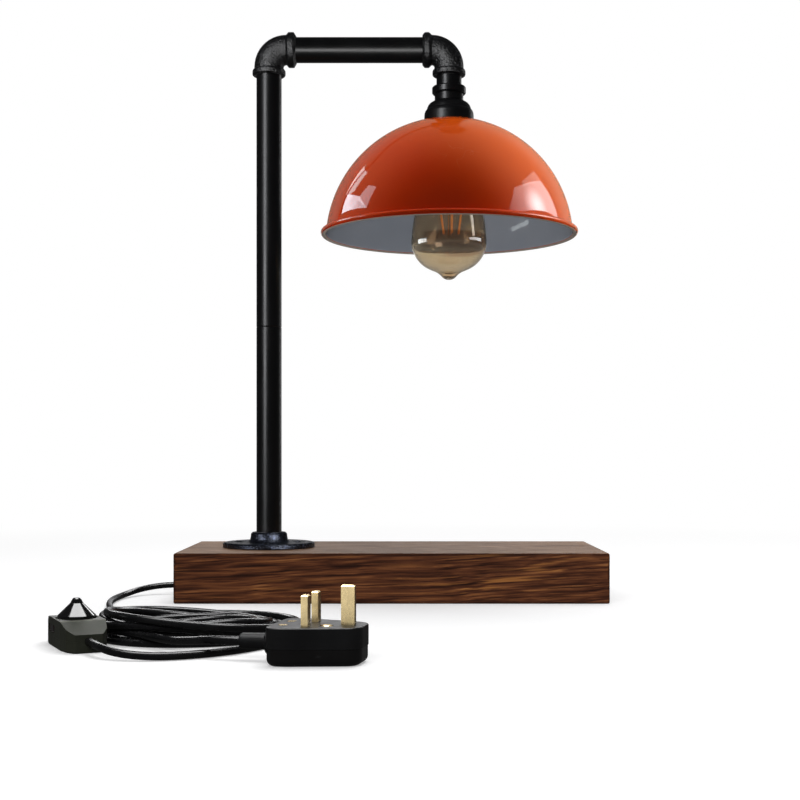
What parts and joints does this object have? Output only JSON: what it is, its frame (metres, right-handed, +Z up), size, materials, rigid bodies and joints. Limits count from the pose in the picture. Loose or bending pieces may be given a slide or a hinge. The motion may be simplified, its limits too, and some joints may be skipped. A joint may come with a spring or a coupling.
{
  "type": "industrial pipe table lamp",
  "caption": "Table lamp of black iron pipe on a wooden base, with a domed enamel shade, a filament bulb and a coiled flex with an in-line dimmer and a plug.",
  "frame": {"origin": "centre of the base board's underside, on the surface the lamp stands on", "axes": "+Z up, +X along the level pipe towards the shade, -Y towards the front, where the flex lies"},
  "size_m": [0.3999, 0.5025, 0.4777],
  "materials": {
    "wood": "satin",
    "pipe_black": "satin",
    "fitting_iron": "satin",
    "cup_black": "satin",
    "shade_enamel": "gloss",
    "flex_black": "gloss",
    "bulb_amber": "gloss",
    "cap_metal": "satin",
    "bulb_black_glass": "gloss",
    "bulb_clear_glass": "gloss",
    "filament": "satin",
    "wire_steel": "satin",
    "holder_plastic": "gloss",
    "brass": "satin",
    "screw_steel": "satin",
    "rubber_black": "matte",
    "cover_plastic": "matte",
    "dimmer_plastic": "satin",
    "knob_plastic": "gloss",
    "window_red": "gloss",
    "board_green": "matte",
    "part_grey": "matte",
    "plug_black": "gloss",
    "fuse_body": "matte"
  },
  "bodies": {
    "stand": {"base_board": "wood", "floor_flange": "fitting_iron", "flange_screws": "screw_steel", "lower_pipe": "pipe_black", "joining_nipple": "fitting_iron", "upper_pipe": "pipe_black", "exit_bush": "rubber_black", "pocket_cover": "cover_plastic", "pocket_cover_screws": "screw_steel", "cord_clamp": "cover_plastic", "cord_clamp_screws": "screw_steel", "flex_upright": "flex_black", "cord_lamp_run": "flex_black", "cord_coil": "flex_black", "cord_dimmer_in": "flex_black", "cord_dimmer_out": "flex_black", "cord_plug_run": "flex_black", "dimmer_base": "dimmer_plastic", "dimmer_cover": "dimmer_plastic", "dimmer_pcb": "board_green", "dimmer_pot": "part_grey", "dimmer_screws": "screw_steel", "dimmer_window": "window_red", "flex_dimmer_ends": "flex_black", "plug_body": "plug_black", "plug_cover": "plug_black", "plug_pins": "brass", "plug_earth_pin": "brass", "plug_cover_screw": "brass", "plug_grip_screws": "brass", "plug_cord_grip": "cover_plastic", "plug_fuse": "fuse_body", "plug_fuse_clips": "brass", "plug_sleeve": "rubber_black", "flex_plug_end": "flex_black"},
    "arm": {"corner_elbow": "fitting_iron", "arm_pipe": "pipe_black", "flex_arm": "flex_black"},
    "head": {"head_elbow": "fitting_iron", "drop_nipple": "pipe_black", "stepped_collar": "fitting_iron", "holder_cup": "cup_black", "holder_body": "holder_plastic", "contact_block": "holder_plastic", "screw_shell": "brass", "centre_contact": "brass", "terminal_screws": "brass", "shade_ring": "holder_plastic", "shade": "shade_enamel", "flex_head": "flex_black"},
    "bulb": {"bulb_glass": "bulb_amber", "bulb_cap": "cap_metal", "bulb_insulator": "bulb_black_glass", "bulb_contact": "brass", "bulb_stem": "bulb_clear_glass", "bulb_filaments": "filament", "bulb_support_wires": "wire_steel"},
    "knob": {"dimmer_knob": "knob_plastic", "dimmer_spindle": "brass"}
  },
  "joints": [
    {"name": "arm_swing", "type": "hinge", "parent": "stand", "child": "arm", "pos_m": [-0.1048, 0, 0.463], "axis": [0, 0, 1], "range_deg": [-90, 90]},
    {"name": "head_tilt", "type": "hinge", "parent": "arm", "child": "head", "pos_m": [0.0484, 0, 0.463], "axis": [1, 0, 0], "range_deg": [-60, 60]},
    {"name": "bulb_withdraw", "type": "slide", "parent": "head", "child": "bulb", "axis": [0, 0, -1], "range_m": [0, 0.022]},
    {"name": "dimmer_turn", "type": "hinge", "parent": "stand", "child": "knob", "pos_m": [-0.194, -0.309, 0.02], "axis": [0, 0, 1], "range_deg": [0, 280]}
  ]
}
